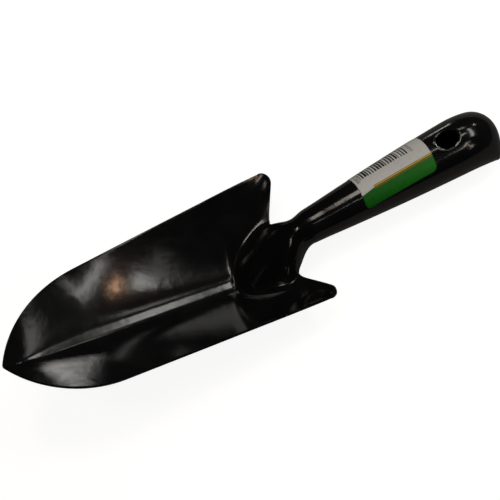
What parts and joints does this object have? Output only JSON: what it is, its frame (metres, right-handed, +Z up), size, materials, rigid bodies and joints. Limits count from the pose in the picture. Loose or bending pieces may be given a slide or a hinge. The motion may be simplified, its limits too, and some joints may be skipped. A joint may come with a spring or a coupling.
{
  "type": "hand trowel",
  "caption": "Garden hand trowel pressed from one steel sheet: pointed scoop blade, raised step, neck rolled into a tapered tube handle with a hanging hole",
  "frame": {"origin": "bottom centre of the bounding box, with the trowel lying on its back", "axes": "+X runs from the blade's tip to the end of the handle, +Z is up out of the open scoop, +Y is across the blade"},
  "size_m": [0.272, 0.0806, 0.0592],
  "materials": {
    "black_painted_steel": "gloss",
    "label_paper": "satin"
  },
  "bodies": {
    "root": {"trowel_body": "black_painted_steel", "label": "label_paper"}
  },
  "joints": []
}
